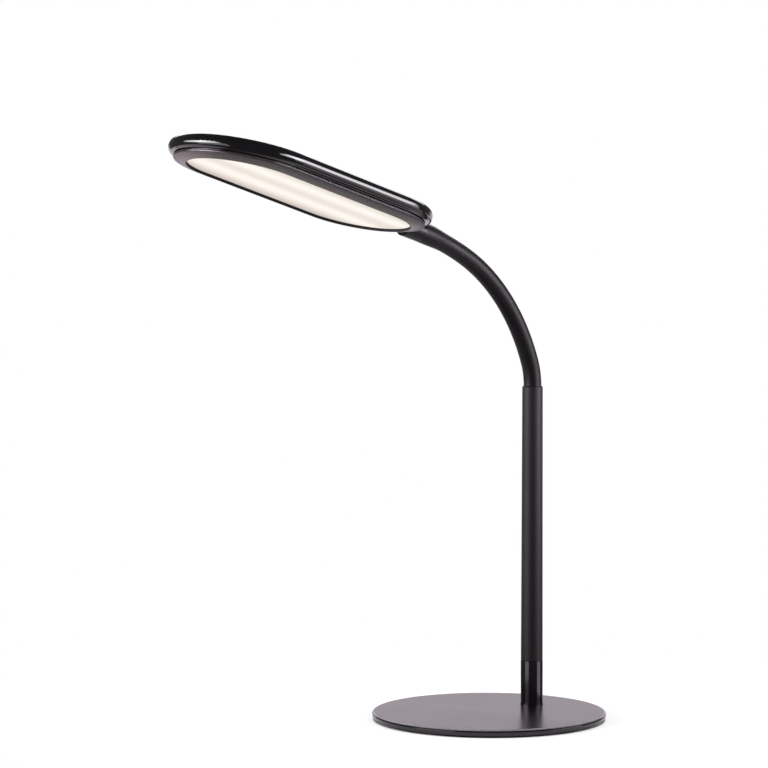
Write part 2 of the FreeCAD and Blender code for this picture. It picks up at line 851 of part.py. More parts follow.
def screw(name, spot_of, head_at, shank, turn):
    """Pan-head screw: its head ends where its shank starts."""
    head_low = spot_of(f"{head_at} - screw_head_thick")
    head = rod(f"{name}_head", "screw_head_dia / 2", "screw_head_thick", head_low, turn)
    stem = rod(f"{name}_stem", screw_radius, shank, spot_of(head_at), turn)
    whole = doc.addObject("Part::Fuse", name)
    whole.Base = head
    whole.Tool = stem
    return whole


def make_board_screws():
    shank = "(led_board_thick + screw_bite - fit_gap)"
    return group("board_screws", [
        screw("board_screw", lambda height, spot=spot: (*spot, height), led_board_low, shank, UPRIGHT)
        for spot in corners("boss_across", "boss_along")
    ])


def make_socket():
    """Barrel behind the head that takes the end of the neck's core."""
    bore_low = f"({socket_mouth} - socket_bore_depth)"
    grub_spot = f"({socket_mouth} - socket_grub_place)"

    def aside(distance):
        return (f"-{distance}", grub_spot, "socket_axis")

    barrel = rod("socket_barrel", socket_radius, "socket_len", socket_line(socket_seat), REARWARD)
    bore = rod("socket_bore", ferrule_bore, "socket_bore_depth", socket_line(bore_low), REARWARD)
    lead_way = rod("socket_lead_way", core_bore, "socket_len", socket_line(socket_seat), REARWARD)
    hole_depth = "(socket_screw_bite + fit_gap)"
    screw_holes = [
        rod("socket_screw_hole", tight_hole, hole_depth, (side, socket_seat, socket_screw_level), REARWARD)
        for side in socket_screw_sides
    ]
    grub_way = rod("socket_grub_way", grub_hole, socket_radius, aside("0"), SIDEWAYS)
    shank = f"({socket_seat} - {screw_seat} + socket_screw_bite)"

    def beside(side):
        return lambda along: (side, along, socket_screw_level)

    screws = [
        screw("socket_screw", beside(side), screw_seat, shank, REARWARD)
        for side in socket_screw_sides
    ]
    grub_len = f"({socket_radius} - grub_sunk - {ferrule_bore})"
    return [
        cut("neck_socket", barrel, bore, lead_way, *screw_holes, grub_way),
        group("socket_screws", screws),
        grub_screw("socket_set_screw", ferrule_bore, grub_len, aside, SIDEWAYS),
    ]


def make_head():
    spots = corners("boss_across", "boss_along")
    spreader_holes = [("boss_dia / 2 + snap_gap", spot) for spot in spots]
    board_holes = [(loose_hole, spot) for spot in spots]
    plate = ("led_board_radius", "led_board_half")
    connector = block(
        "led_connector_block",
        ("connector_width", "connector_len", f"{led_board_low} - {connector_low}"),
        ("-connector_width / 2", f"{connector_end} - connector_len", connector_low),
    )
    pieces = [
        make_head_cover(),
        make_head_bezel(),
        long_plate("diffuser", f"({seat_radius} - snap_gap)", "head_half", "seat_depth", "diffuser_thick"),
        long_plate("heat_spreader", *plate, spreader_low, "spreader_thick", spreader_holes),
        long_plate("led_board", *plate, led_board_low, "led_board_thick", board_holes),
        make_leds(),
        make_board_screws(),
        group("led_connector", [connector]),
        *make_socket(),
    ]
    doc.recompute()
    for piece in pieces:
        piece.Placement = head_placement()
    return pieces


def check(pieces):
    """Stop if any step of the model failed or any piece is not a sound solid."""
    failed = [thing.Name for thing in doc.Objects if {"Invalid", "Error"} & set(thing.State)]
    if failed:
        raise RuntimeError(f"failed: {failed}")
    for piece in pieces:
        if piece.Shape.isNull() or not piece.Shape.isValid() or not piece.Shape.Solids:
            raise RuntimeError(f"not a sound solid: {piece.Label}")


def main():
    pieces = [
        make_base_plate(),
        make_base_pad(),
        make_cord_grommet(),
        *make_foot(),
        *make_touch_dimmer(),
        *make_post(),
        *make_neck(),
        *make_head(),
    ]
    doc.recompute()
    check(pieces)
    os.makedirs("parts", exist_ok=True)
    for piece in pieces:
        piece.Shape.exportStep(f"parts/{piece.Label}.step")
        print(f"{piece.Label}: {len(piece.Shape.Solids)} solids, {piece.Shape.Volume / 1000:.2f} cm3")
    return pieces


PIECES = main()
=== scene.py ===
# %% [markdown]
# # A desk lamp with a bending neck
# The lamp is already built as a imported model: every rigid piece has its true shape and place there, so it is
# loaded first and never moved. What is left for this lesson is the smooth skin of the neck, the finishes, the
# studio and the camera.

# %% Load the imported model
import json
import math

import bpy
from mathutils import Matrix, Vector


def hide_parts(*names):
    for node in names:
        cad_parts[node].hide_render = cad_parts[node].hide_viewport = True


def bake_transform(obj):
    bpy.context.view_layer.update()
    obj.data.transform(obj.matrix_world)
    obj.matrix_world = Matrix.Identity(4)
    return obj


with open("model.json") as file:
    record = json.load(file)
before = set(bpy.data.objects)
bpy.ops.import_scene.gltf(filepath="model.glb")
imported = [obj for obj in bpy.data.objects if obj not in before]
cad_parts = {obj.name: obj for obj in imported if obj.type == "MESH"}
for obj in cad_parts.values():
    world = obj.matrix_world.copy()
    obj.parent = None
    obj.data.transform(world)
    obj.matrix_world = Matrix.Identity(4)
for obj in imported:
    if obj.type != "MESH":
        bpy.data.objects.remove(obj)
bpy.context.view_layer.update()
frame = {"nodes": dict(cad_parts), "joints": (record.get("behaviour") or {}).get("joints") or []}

nodes = frame["nodes"]
joints = frame["joints"]
links = [f"{number:02d}" for number in range(1, len(joints) + 2)]

# %% [markdown]
# ## Wires
# A finish is a small network of nodes, and so is the light of the room. Sums in it are Math nodes, and adding
# those one by one takes many lines. A `Wire` is the value that leaves a node, and plain sums on it add the Math
# nodes by themselves.

# %% Wire: sums on values that run between nodes
class Wire:
    def __init__(self, network, socket):
        self.network = network
        self.socket = socket

    def sum_node(self, operation, first, second):
        return self.network.node("ShaderNodeMath", {"operation": operation}, {0: first, 1: second})

    def __add__(self, other):
        return self.sum_node("ADD", self, other)

    def __radd__(self, other):
        return self.sum_node("ADD", other, self)

    def __sub__(self, other):
        return self.sum_node("SUBTRACT", self, other)

    def __rsub__(self, other):
        return self.sum_node("SUBTRACT", other, self)

    def __mul__(self, other):
        return self.sum_node("MULTIPLY", self, other)

    def __rmul__(self, other):
        return self.sum_node("MULTIPLY", other, self)

    def __truediv__(self, other):
        return self.sum_node("DIVIDE", self, other)

    def __rtruediv__(self, other):
        return self.sum_node("DIVIDE", other, self)

    def __pow__(self, other):
        return self.sum_node("POWER", self, other)


# %% [markdown]
# ## Networks
# A `Network` holds the nodes. Its `node` method adds any kind, with its settings first and its inputs after.
# The methods below it are short names for kinds that come back often: a mix of two colours, a soft step, and
# the question of what kind of ray has come to a surface.

# %% Network: nodes and the wires between them
class Network:
    def __init__(self, tree):
        self.tree = tree

    def node(self, kind, settings=None, inputs=None, output=0):
        made = self.tree.nodes.new(kind)
        for name, value in (settings or {}).items():
            setattr(made, name, value)
        for key, value in (inputs or {}).items():
            self.feed(made.inputs[key], value)
        return Wire(self, made.outputs[output])

    def feed(self, socket, value):
        if isinstance(value, Wire):
            self.tree.links.new(value.socket, socket)
        else:
            socket.default_value = value

    def mix(self, factor, first, second):
        """Colour between two colours."""
        first, second = (colour if isinstance(colour, Wire) else (*colour, 1.0) for colour in (first, second))
        return self.node("ShaderNodeMix", {"data_type": "RGBA"}, {0: factor, 6: first, 7: second}, output=2)

    def ease(self, value, low, high):
        """0 below low, 1 above high and a soft step between them."""
        limits = {"Value": value, "From Min": low, "From Max": high}
        return self.node("ShaderNodeMapRange", {"interpolation_type": "SMOOTHSTEP"}, limits)

    def rays(self, kind):
        """1 for rays of this kind, such as Camera, and 0 for all others."""
        return self.node("ShaderNodeLightPath", output=f"Is {kind} Ray")


# %% [markdown]
# ## Finishes
# A `Finish` is the network of one material. Its patterns are measured in metres and stay fixed to the piece, so
# a grain has its real size on small pieces and on large ones.

# %% Finish: one material
class Finish(Network):
    def __init__(self, name):
        self.material = bpy.data.materials.new(name)
        self.material.use_nodes = True
        super().__init__(self.material.node_tree)
        self.shader = self.tree.nodes["Principled BSDF"]
        self.coordinates = self.node("ShaderNodeTexCoord", output="Object")

    def set(self, **values):
        """Feed sockets of the main shader, with words joined by _ for its socket names."""
        names = {socket.name.lower().replace(" ", "_"): socket for socket in self.shader.inputs}
        for name, value in values.items():
            self.feed(names[name], value)

    def noise(self, grain, detail):
        """Cloudy noise from 0 to 1 whose patches are about one grain wide, in metres."""
        inputs = {"Vector": self.coordinates, "Scale": 1 / grain, "Detail": detail}
        return self.node("ShaderNodeTexNoise", inputs=inputs)

    def speckle(self, grain):
        """Distance to the nearest of many scattered points, about one grain apart."""
        inputs = {"Vector": self.coordinates, "Scale": 1 / grain}
        return self.node("ShaderNodeTexVoronoi", inputs=inputs)

    def along(self, direction, origin):
        """Distance from a place, measured along one direction."""
        inputs = {0: self.coordinates, 1: direction}
        reach = self.node("ShaderNodeVectorMath", {"operation": "DOT_PRODUCT"}, inputs, output="Value")
        return reach - direction.dot(origin)

    def function(self, operation, *values):
        """Any other sum, by the name of its Math node."""
        return self.node("ShaderNodeMath", {"operation": operation}, dict(enumerate(values)))

    def bump(self, height, depth):
        """Normal of a surface with small hills of this depth, in metres."""
        return self.node("ShaderNodeBump", inputs={"Distance": depth, "Height": height})


def dress(finish, *names):
    """Give loaded pieces their finish."""
    for name in names:
        slots = nodes[name].data.materials
        slots.clear()
        slots.append(finish.material)
    print(f"{finish.material.name}: {len(names)} pieces, {len(finish.tree.nodes)} nodes")


# %% [markdown]
# ## The line of the neck
# On the real lamp one smooth tube covers the whole neck and bends with it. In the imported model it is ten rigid
# links. The tube follows the same line as the links: straight out of the post, then three bends that run into
# one another. Each bend is an arc of known radius and turn, so the whole line can be worked out from those.

# %% Bends of the neck
POST_BACK = 0.049
POST_TOP = 0.2546
BENDS = [(0.0543, 21.0), (0.1553, 41.7), (0.2554, 11.7)]


def inward(turn):
    """Direction from the neck's line to the centre of its bend, where it has turned this far, in degrees."""
    angle = math.radians(turn)
    return Vector((0.0, -math.cos(angle), -math.sin(angle)))


def bend_runs():
    """The three bends: distance and turn at the end, centre and radius."""
    runs = []
    point = Vector((0.0, POST_BACK, POST_TOP))
    distance = turn = 0.0
    for radius, more in BENDS:
        centre = point + inward(turn) * radius
        distance += radius * math.radians(more)
        turn += more
        point = centre - inward(turn) * radius
        runs.append((distance, turn, centre, radius))
    return runs


RUNS = bend_runs()
NECK_LENGTH, HEAD_TURN = RUNS[-1][:2]
print(f"neck {NECK_LENGTH:.4f} m long, turned {HEAD_TURN:.1f} degrees at the head")

# %% [markdown]
# ## Joints on that line
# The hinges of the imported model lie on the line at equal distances. Their real places come with the model, so
# the line can be tested against them before anything is drawn on it.

# %% Places along the neck
FIRST_JOINT = 0.012
LAST_JOINT = 0.016
HAIR = 1e-9


def bend_at(distance):
    """The bend that this distance lies in."""
    return next(run for run in RUNS if distance <= run[0] + HAIR)


def neck_at(distance):
    """Place on the neck's line and its turn there, this far past the top of the post."""
    if distance <= 0:
        return Vector((0.0, POST_BACK, POST_TOP + distance)), 0.0
    end, end_turn, centre, radius = bend_at(distance)
    turn = end_turn - math.degrees((end - distance) / radius)
    return centre - inward(turn) * radius, turn


step = (NECK_LENGTH - FIRST_JOINT - LAST_JOINT) / (len(joints) - 1)
joint_distances = [FIRST_JOINT + step * number for number in range(len(joints))]
places = [Vector(joint["pos_m"]) for joint in joints]
strays = [(neck_at(distance)[0] - place).length for distance, place in zip(joint_distances, places)]
print(f"joints within {max(strays):.6f} m of the neck's line")

# %% [markdown]
# ## The place of the head
# The neck ends in the mouth of the head's socket. The middle of the head lies a known way in front of that
# mouth and below its axis. The head's finishes and the high lamps are placed from that middle.

# %% Middle and directions of the head
SOCKET_MOUTH = 0.126
SOCKET_AXIS = 0.0077
SIDEWAYS = Vector((1.0, 0.0, 0.0))
HEAD_UP = -inward(HEAD_TURN)
HEAD_REAR = Vector((0.0, math.sin(math.radians(HEAD_TURN)), -math.cos(math.radians(HEAD_TURN))))
HEAD_MIDDLE = neck_at(NECK_LENGTH)[0] - HEAD_REAR * SOCKET_MOUTH - HEAD_UP * SOCKET_AXIS
print(f"middle of the head at {HEAD_MIDDLE}")

# %% [markdown]
# ## Black, and its tint
# Everything outside on this lamp is black, but no black is neutral: the pigment and the clear binder over it
# leave a trace of violet. One helper gives that tint to the colours, and two values give it to the sheen, a
# fuller one for most finishes and a clearer one for the polished cover. No black is quite even either, so a
# second helper lets it drift a little from cloud to cloud.

# %% Tinted blacks
VIOLET = (1.05, 0.87, 1.08)
SHEEN_TINT = (1.0, 0.88, 1.0, 1.0)
CLEAR_TINT = (1.0, 0.96, 1.0, 1.0)


def violet_grey(level):
    return tuple(level * share for share in VIOLET)


def cloudy_black(finish, clouds, level, drift=0.15):
    """Black of about this level, a little darker or lighter from cloud to cloud."""
    return finish.mix(clouds, violet_grey(level * (1 - drift)), violet_grey(level * (1 + drift)))


print(f"shares of red, green and blue in a black: {VIOLET}")

# %% [markdown]
# ## Satin powder coat
# The base and the post are steel with a baked powder coat. Powder flows out into shallow waves a millimetre or
# two wide, with a finer grain on top, so its sheen is soft and never quite even. Two noises of different grain
# give that in the bump, and the finer one with a wide cloud in the roughness, without any visible pattern. Over
# the rounded rim of the base the coat is glossier, and just below its top edge a hair-thin line of pale, partly
# metallic colour is painted on: a painted highlight for the light that catches the edge of the rim. The depth
# below the top of the plate tells where the rim and that line are.

# %% Powder coat on base and post
PLATE_TOP = 0.006
RIM_START = 0.00004
RIM_FULL = 0.0003
LINE_FULL = 0.00012
LINE_FADE = 0.0007
LINE_END = 0.0010
# Pale colour of the painted highlight line along the rim of the base
HIGHLIGHT_LINE_COLOUR = (0.90, 0.84, 0.90)


def powder_coat(name, level, rough, sheen, painted_rim_highlight=False):
    finish = Finish(name)
    waves = finish.noise(grain=0.0025, detail=3.0)
    grain = finish.noise(grain=0.0004, detail=1.0)
    clouds = finish.noise(grain=0.06, detail=3.0)
    colour = cloudy_black(finish, clouds, level)
    roughness = rough + 0.06 * clouds + 0.05 * grain
    if painted_rim_highlight:
        depth = finish.along(Vector((0.0, 0.0, -1.0)), Vector((0.0, 0.0, PLATE_TOP)))
        on_rim = finish.ease(depth, RIM_START, RIM_FULL)
        # painted highlight: a pale, partly metallic line just below the top edge of the base's rim
        highlight_line = finish.ease(depth, RIM_START, LINE_FULL) * (1.0 - finish.ease(depth, LINE_FADE, LINE_END))
        colour = finish.mix(highlight_line, colour, HIGHLIGHT_LINE_COLOUR)
        roughness = roughness - 0.12 * on_rim + 0.35 * highlight_line
        finish.set(metallic=0.3 * highlight_line)
    finish.set(
        base_color=colour,
        roughness=roughness,
        normal=finish.bump(waves * 0.7 + grain * 0.3, depth=0.00002),
        ior=1.5,
        specular_ior_level=sheen,
        specular_tint=SHEEN_TINT,
    )
    return finish


dress(powder_coat("base_powder_coat", level=0.010, rough=0.20, sheen=0.5, painted_rim_highlight=True), "base_plate")
dress(powder_coat("post_powder_coat", level=0.009, rough=0.46, sheen=0.28), "post_tube")

# %% [markdown]
# ## Gloss lacquer and piano black
# The touch collar and the ring under it are lacquered, and the head cover and its socket are polished
# mouldings. Polished black shows almost nothing of itself, only what it mirrors, so the finish is a low
# roughness with faint handling marks and the slightest unevenness of a moulded wall.

# %% Gloss lacquer and piano black
def polished(name, level, rough, sheen=0.5, tint=SHEEN_TINT):
    finish = Finish(name)
    marks = finish.noise(grain=0.018, detail=4.0)
    dust = finish.speckle(grain=0.003)
    swell = finish.noise(grain=0.03, detail=0.0)
    finish.set(
        base_color=cloudy_black(finish, marks, level, drift=0.2),
        roughness=rough + 0.04 * marks ** 2.0 + 0.02 * dust,
        normal=finish.bump(swell, depth=0.00004),
        ior=1.5,
        specular_ior_level=sheen,
        specular_tint=tint,
    )
    return finish


dress(polished("collar_lacquer", level=0.006, rough=0.12), "touch_collar", "foot_ring")
dress(polished("piano_black", level=0.004, rough=0.05, tint=CLEAR_TINT), "head_cover")
dress(polished("socket_satin", level=0.004, rough=0.26, sheen=0.2), "neck_socket")

# %% [markdown]
# ## Spark-eroded bezel
# The sloping face of the bezel comes from a mould with a fine spark-eroded texture, so it spreads light where
# the cover mirrors it. Close to the lip its black is painted paler and warmer, a painted glow that stands for
# the lit sheet shining along it; outwards it goes back to plain black, though only half way at the tip. The
# wall inside the lip is left dull, so that it does not mirror the sheet beside it. The outer edge is dull along
# the sides too, but at the tip, where a hand takes the head, it is worn to a gloss. Three distances tell these
# apart: the height above the head's middle, the distance along the head, and the distance from its middle
# line, which runs straight between the two round ends.

# %% Satin bezel
HEAD_HALF = 0.0553
TIP_LENGTH = 0.03
LIP_RADIUS = 0.0429
SLOPE_START = LIP_RADIUS + 0.0001
SLOPE_FULL = LIP_RADIUS + 0.0005
LIT_FROM = LIP_RADIUS + 0.001
LIT_TO = LIP_RADIUS + 0.010
EDGE_START = 0.0022
EDGE_FULL = 0.0028
WALL_ROUGH = 0.95
SLOPE_ROUGH = 0.32
# Paler, warmer black painted near the lip: a painted glow for the lit sheet shining along the slope
PAINTED_GLOW_BLACK = (0.065, 0.05, 0.047)


def spark_texture(name, level):
    finish = Finish(name)
    pits = finish.speckle(grain=0.0005)
    clouds = finish.noise(grain=0.04, detail=2.0)
    across = finish.along(SIDEWAYS, HEAD_MIDDLE)
    beyond = finish.function("ABSOLUTE", finish.along(HEAD_REAR, HEAD_MIDDLE)) - HEAD_HALF
    past_end = finish.function("MAXIMUM", beyond, 0.0)
    reach = (across * across + past_end * past_end) ** 0.5
    on_slope = finish.ease(reach, SLOPE_START, SLOPE_FULL)
    on_edge = finish.ease(finish.along(HEAD_UP, HEAD_MIDDLE), EDGE_START, EDGE_FULL)
    at_tip = finish.ease(finish.along(-HEAD_REAR, HEAD_MIDDLE), HEAD_HALF, HEAD_HALF + TIP_LENGTH)
    outward = finish.ease(reach, LIT_FROM, LIT_TO) * (1.0 - 0.5 * at_tip)
    roughness = WALL_ROUGH + (SLOPE_ROUGH - WALL_ROUGH) * on_slope + 0.12 * outward
    finish.set(
        # painted glow: near the lip the slope gets the paler, warmer black in place of its own
        base_color=finish.mix(on_slope * (1.0 - outward), cloudy_black(finish, clouds, level), PAINTED_GLOW_BLACK),
        roughness=roughness + on_edge * (0.1 - 0.4 * at_tip) + 0.05 * clouds,
        normal=finish.bump(pits, depth=0.000004),
        ior=1.5,
        specular_tint=SHEEN_TINT,
    )
    return finish


dress(spark_texture("bezel_texture", level=0.008), "head_bezel")

# %% [markdown]
# ## Lit opal diffuser
# Behind the opal sheet two rows of small lamps run the length of the head, a little way in from each side. The
# sheet spreads them into two soft bands, with a dimmer band between them and warmer, dimmer edges. It is
# frosted and seen by its own light, so it mirrors next to nothing. The rows lie along the lamp's own middle
# plane, so the bands depend on one coordinate only: the distance from that plane.

# %% Diffuser with two bright bands
ROW_OFFSET = 0.017
BAND_WIDTH = 0.0105
EDGE_FROM = 0.027
BAND_GLOW = (0.88, 0.84, 0.77)
BETWEEN_GLOW = (0.70, 0.62, 0.555)
EDGE_GLOW = (0.55, 0.49, 0.445)


def lit_opal():
    finish = Finish("lit_opal")
    haze = finish.noise(grain=0.012, detail=2.0)
    side = finish.function("ABSOLUTE", finish.along(SIDEWAYS, HEAD_MIDDLE))
    away = (side - ROW_OFFSET) / BAND_WIDTH
    band = finish.function("EXPONENT", away * away * -1.0)
    glow = finish.mix(band * 0.94 + haze * 0.12, BETWEEN_GLOW, BAND_GLOW)
    finish.set(
        base_color=finish.mix(haze, (0.11, 0.107, 0.104), (0.13, 0.127, 0.124)),
        roughness=0.5 + 0.06 * haze,
        specular_ior_level=0.08,
        emission_color=finish.mix(finish.ease(side, EDGE_FROM, LIP_RADIUS), glow, EDGE_GLOW),
        emission_strength=1.0,
    )
    return finish


dress(lit_opal(), "diffuser")

# %% [markdown]
# ## Rubber and foam
# The pad under the base is foam sheet, and the bush where the cord enters is soft rubber. Both are matt, with
# open pores on the foam. The same recipe with a finer grain does for the neck's skin, which is a smooth
# silicone tube with a soft sheen.

# %% Rubber, foam and the neck's skin
def soft_black(name, level, rough, sheen, grain, depth):
    finish = Finish(name)
    pores = finish.speckle(grain)
    clouds = finish.noise(grain=0.03, detail=3.0)
    finish.set(
        base_color=cloudy_black(finish, clouds, level),
        roughness=rough + 0.06 * clouds,
        normal=finish.bump(pores, depth),
        ior=1.45,
        specular_ior_level=sheen,
        specular_tint=SHEEN_TINT,
    )
    return finish


foam = soft_black("pad_foam", level=0.02, rough=0.8, sheen=0.2, grain=0.0012, depth=0.0002)
rubber = soft_black("bush_rubber", level=0.016, rough=0.6, sheen=0.4, grain=0.0006, depth=0.00004)
silicone = soft_black("neck_silicone", level=0.004, rough=0.42, sheen=0.22, grain=0.0005, depth=0.000002)
dress(foam, "base_pad")
dress(rubber, "cord_grommet")

# %% [markdown]
# ## Metals inside
# The stud, nut, washer, spigot, ferrule, screws and the wound core are never seen at rest, but each still has
# its own metal: plated steel with the fine lines of turning, oiled spring steel, brass and rolled aluminium.
# Stretching a noise along one direction turns its patches into those lines.

# %% Metal finishes
LINES_PER_METRE = 900.0
ACROSS = (1.0, 1.0, 0.05)
ALONG = (1.0, 0.05, 1.0)


def grey(level):
    return (level, level, level)


def worked_metal(name, dark, light, rough, stretch):
    finish = Finish(name)
    drawn = finish.node("ShaderNodeMapping", inputs={"Vector": finish.coordinates, "Scale": stretch})
    pattern = {"Vector": drawn, "Scale": LINES_PER_METRE, "Detail": 3.0}
    lines = finish.node("ShaderNodeTexNoise", inputs=pattern)
    stains = finish.noise(grain=0.008, detail=3.0)
    finish.set(
        base_color=finish.mix(stains, dark, light),
        metallic=1.0,
        roughness=rough + 0.15 * lines,
        normal=finish.bump(lines, depth=0.00001),
    )
    return finish


dress(
    worked_metal("plated_steel", (0.5, 0.5, 0.48), (0.66, 0.66, 0.64), rough=0.28, stretch=ACROSS),
    "base_washer", "base_nut", "threaded_nipple", "spigot_plug", "post_spigot", "neck_ferrule",
    "board_screws", "socket_screws",
)
dress(
    worked_metal("black_oxide", grey(0.03), grey(0.06), rough=0.35, stretch=ACROSS),
    "post_set_screw", "socket_set_screw",
)
dress(
    worked_metal("spring_steel", (0.3, 0.3, 0.29), (0.46, 0.46, 0.44), rough=0.3, stretch=ALONG),
    *(f"neck_core_{link}" for link in links),
)
dress(
    worked_metal("contact_brass", (0.68, 0.47, 0.17), (0.82, 0.62, 0.28), rough=0.25, stretch=ALONG),
    "touch_contact",
)
dress(
    worked_metal("rolled_aluminium", (0.7, 0.71, 0.72), (0.82, 0.82, 0.83), rough=0.3, stretch=ALONG),
    "heat_spreader",
)

# %% [markdown]
# ## Plastics inside
# The liner, connector and the lead's sheath are plain moulded or extruded plastic, the two boards are laminate
# with a printed mask, and the small lamps are filled with yellow resin. They differ in colour and gloss and
# share one recipe: a speckle for the grain and a cloud for the uneven tone.

# %% Plastic, laminate and resin
def moulded(name, dark, light, rough, grain):
    finish = Finish(name)
    grains = finish.speckle(grain)
    clouds = finish.noise(grain=0.01, detail=3.0)
    finish.set(
        base_color=finish.mix(clouds, dark, light),
        roughness=rough + 0.1 * clouds,
        normal=finish.bump(grains, depth=0.00002),
    )
    return finish


dress(
    moulded("natural_nylon", (0.66, 0.65, 0.6), (0.78, 0.77, 0.72), rough=0.45, grain=0.0008),
    "collar_liner", "led_connector",
)
dress(
    moulded("lead_sheath", (0.7, 0.7, 0.67), (0.82, 0.82, 0.8), rough=0.4, grain=0.0006),
    *(f"neck_lead_{link}" for link in links),
)
dress(
    moulded("green_laminate", (0.015, 0.13, 0.05), (0.03, 0.2, 0.08), rough=0.35, grain=0.001),
    "touch_board",
)
dress(moulded("white_mask", (0.8, 0.8, 0.77), (0.9, 0.9, 0.87), rough=0.3, grain=0.001), "led_board")
dress(moulded("black_components", grey(0.02), grey(0.05), rough=0.4, grain=0.0005), "dimmer_components")
dress(moulded("yellow_resin", (0.85, 0.6, 0.12), (0.95, 0.75, 0.25), rough=0.2, grain=0.0004), "leds")

# %% [markdown]
# ## The width of the neck's skin
# The skin is a tube of even width. Only towards the head it flares, because there it is pushed over the
# socket's end. A soft step from one radius to the other gives that flare without a kink.

# %% Radius of the skin
SKIN_RADIUS = 0.0069
FLARE_RADIUS = 0.0079
FLARE_FROM = 0.155
FLARE_TO = 0.178


def skin_radius(distance):
    share = min(max((distance - FLARE_FROM) / (FLARE_TO - FLARE_FROM), 0.0), 1.0)
    return SKIN_RADIUS + (FLARE_RADIUS - SKIN_RADIUS) * share * share * (3 - 2 * share)


print(f"skin radius {skin_radius(0.0)} m at the post and {skin_radius(NECK_LENGTH)} m at the head")

# %% [markdown]
# ## One stretch of skin
# A skin that bends follows two neighbouring links, one on each side of a joint. So the tube is drawn as nine
# stretches, from the middle of one link to the middle of the next. Each stretch starts as a ring that is spun
# round the centre of its bend in short steps, as a tube is bent on a former.

# %% Draw one stretch
RING_POINTS = 96
RING_STEP = 0.0012
MERGE_WITHIN = 0.00001


def ring_distances(low, high):
    """Even short steps between two distances, with a stop where one bend runs into the next."""
    bend_ends = [0.0, *(run[0] for run in RUNS)]
    stops = [low, *(stop for stop in bend_ends if low < stop < high), high]
    distances = [low]
    for first, last in zip(stops, stops[1:]):
        count = math.ceil((last - first) / RING_STEP)
        distances += [first + (last - first) * number / count for number in range(1, count + 1)]
    return distances


def grow(first, last):
    """Carry the selected ring from one distance to the next, and widen it where the tube flares."""
    if last <= 0:
        bpy.ops.mesh.extrude_region_move(TRANSFORM_OT_translate={"value": (0.0, 0.0, last - first)})
    else:
        centre, radius = bend_at(last)[2:]
        bpy.ops.mesh.spin(steps=1, angle=-(last - first) / radius, center=centre, axis=SIDEWAYS)
    widening = skin_radius(last) / skin_radius(first)
    if widening > 1:
        middle = neck_at(last)[0]
        bpy.ops.transform.resize(value=(widening, widening, widening), center_override=middle)


def draw_stretch(name, low, high):
    place, turn = neck_at(low)
    bpy.ops.object.select_all(action="DESELECT")
    bpy.ops.mesh.primitive_circle_add(
        vertices=RING_POINTS, radius=skin_radius(low), location=place, rotation=(math.radians(turn), 0.0, 0.0)
    )
    stretch = bpy.context.object
    stretch.name = name
    bpy.ops.object.transform_apply(location=True, rotation=True, scale=True)
    bpy.ops.object.mode_set(mode="EDIT")
    bpy.ops.mesh.select_all(action="SELECT")
    distances = ring_distances(low, high)
    for first, last in zip(distances, distances[1:]):
        grow(first, last)
    bpy.ops.mesh.select_all(action="SELECT")
    bpy.ops.mesh.remove_doubles(threshold=MERGE_WITHIN)
    bpy.ops.mesh.normals_make_consistent(inside=False)
    bpy.ops.object.mode_set(mode="OBJECT")
    return stretch


print(f"rings of {RING_POINTS} points, at most {RING_STEP} m apart")

# %% [markdown]
# ## The whole skin
# Every stretch gets its wall inwards, smooth shading and the neck's silicone, and the rigid sleeves it covers
# are hidden. The next stretch starts where the last one ends, in the middle of a link, so the skin is closed.

# %% Draw and thicken the nine stretches
SKIN_TUCK = 0.008
SKIN_WALL = 0.0008
SMOOTH_BELOW = 40
edges = [-SKIN_TUCK, *(distance + step / 2 for distance in joint_distances[:-1]), NECK_LENGTH]
for number, joint in enumerate(joints):
    skin = draw_stretch(f"neck_skin_{number + 1}", edges[number], edges[number + 1])
    wall = skin.modifiers.new("wall", "SOLIDIFY")
    wall.thickness = SKIN_WALL
    wall.offset = -1.0
    bpy.ops.object.modifier_apply(modifier=wall.name)
    bpy.ops.object.shade_smooth_by_angle(angle=math.radians(SMOOTH_BELOW))
    skin.data.materials.append(silicone.material)
    last = number == len(joints) - 1
    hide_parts(*(f"neck_sleeve_{link}" for link in links[number:number + 1 + last]))
    before, after = (neck_at(joint_distances[number] + side * step / 2)[0] for side in (-1, 1))
    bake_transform(skin)
    print(f"{skin.name}: {len(skin.data.polygons)} faces, bends at {joint['name']}")

# %% [markdown]
# ## Floor
# The lamp stands on a white table. The floor keeps the soft shadow; a little light of its own lifts it to the
# white of the background for the camera and for mirror images, but not under the base, where the shadow is
# deepest. A little way from the lamp it thins out into the background, so that no edge of the table shows. In
# mirror images it shows to the head, which is high above it, and to the rim of the base, which is close to it:
# between the two, the table is in the lamp's own shade, and the collar and the post stay black.

# %% Floor
FLOOR_RADIUS = 1.3
FLOOR_POINTS = 96
FLOOR_HEIGHT = -0.0002
FLOOR_LIFT = 0.6
FADE_FROM = 0.13
FADE_TO = 0.40
BASE_RADIUS = 0.09
SHADE_UNTIL = BASE_RADIUS - 0.0008
SHADE_END = BASE_RADIUS - 0.0002
RIM_REACH = 0.03
RIM_REACH_END = 0.05
HEAD_REACH = 0.34
HEAD_REACH_FULL = 0.40


